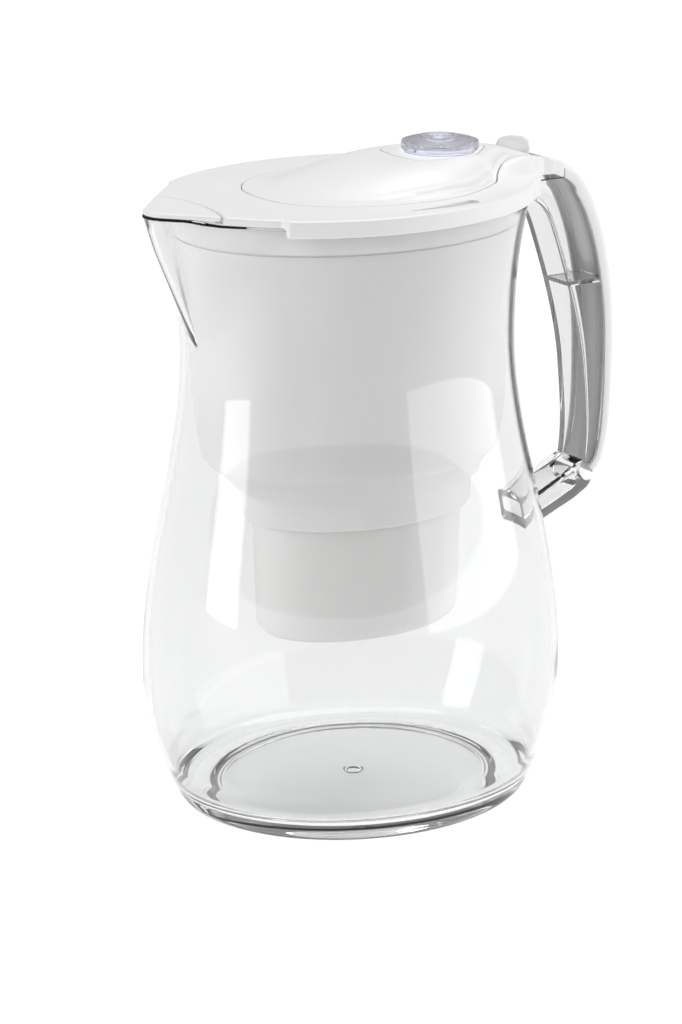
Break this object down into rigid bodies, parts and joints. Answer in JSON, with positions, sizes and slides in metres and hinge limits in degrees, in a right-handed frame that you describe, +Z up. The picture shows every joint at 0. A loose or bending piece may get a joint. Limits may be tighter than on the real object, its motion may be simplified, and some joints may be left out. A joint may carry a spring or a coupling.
{
  "type": "water filter pitcher",
  "caption": "Clear oval jug with a poured spout, an open handle, a drop-in filter funnel with its cartridge, and a lid with a filling hatch, a change counter and a spout flap.",
  "frame": {"origin": "middle of the foot ring, on the surface that the jug stands on", "axes": "+X from the spout to the handle, +Y across the jug, +Z up"},
  "size_m": [0.2261, 0.1588, 0.2793],
  "materials": {
    "clear_plastic": "polished clear moulding",
    "white_gloss": "smooth satin white",
    "milky_plastic": "milky white, soft sheen",
    "inner_plastic": "fine matt white",
    "tinted_clear": "clear with a faint blue grey tint",
    "dial_grey": "matt light grey",
    "soft_rubber": "soft matt",
    "screen_fabric": "fine woven mesh",
    "filter_granules": "dark packed granules",
    "pin_steel": "plain drawn wire"
  },
  "bodies": {
    "jug": {"jug": "clear_plastic", "handle_cover": "white_gloss"},
    "funnel": {"funnel": "milky_plastic"},
    "cartridge": {"cartridge_seal": "soft_rubber", "cartridge_shell": "inner_plastic", "cartridge_cap": "inner_plastic", "inlet_screen": "screen_fabric", "filter_media": "filter_granules", "outlet_screen": "screen_fabric", "outlet_grille": "inner_plastic"},
    "lid": {"lid": "white_gloss", "spout_flap_pin": "pin_steel", "hatch_hinge_pin": "pin_steel"},
    "filling_hatch": {"filling_hatch": "white_gloss", "counter_panel": "white_gloss", "counter_dial": "dial_grey"},
    "counter_knob": {"counter_knob": "tinted_clear", "counter_washer": "soft_rubber", "counter_clip": "inner_plastic"},
    "spout_flap": {"spout_flap": "white_gloss"}
  },
  "joints": [
    {"name": "funnel_lift", "type": "slide", "parent": "jug", "child": "funnel", "axis": [0, 0, 1], "range_m": [0, 0.19]},
    {"name": "cartridge_lift", "type": "slide", "parent": "funnel", "child": "cartridge", "axis": [0, 0, 1], "range_m": [0, 0.07]},
    {"name": "lid_lift", "type": "slide", "parent": "funnel", "child": "lid", "axis": [0, 0, 1], "range_m": [0, 0.06]},
    {"name": "hatch_hinge", "type": "hinge", "parent": "lid", "child": "filling_hatch", "pos_m": [0.072, 0, 0.266], "axis": [0, 1, 0], "range_deg": [0, 50]},
    {"name": "counter_turn", "type": "hinge", "parent": "filling_hatch", "child": "counter_knob", "pos_m": [0.043, 0, 0.2735], "axis": [0, 0, 1], "continuous": true},
    {"name": "flap_hinge", "type": "hinge", "parent": "lid", "child": "spout_flap", "pos_m": [-0.0724, 0, 0.2611], "axis": [0, 1, 0], "range_deg": [0, 45]}
  ]
}
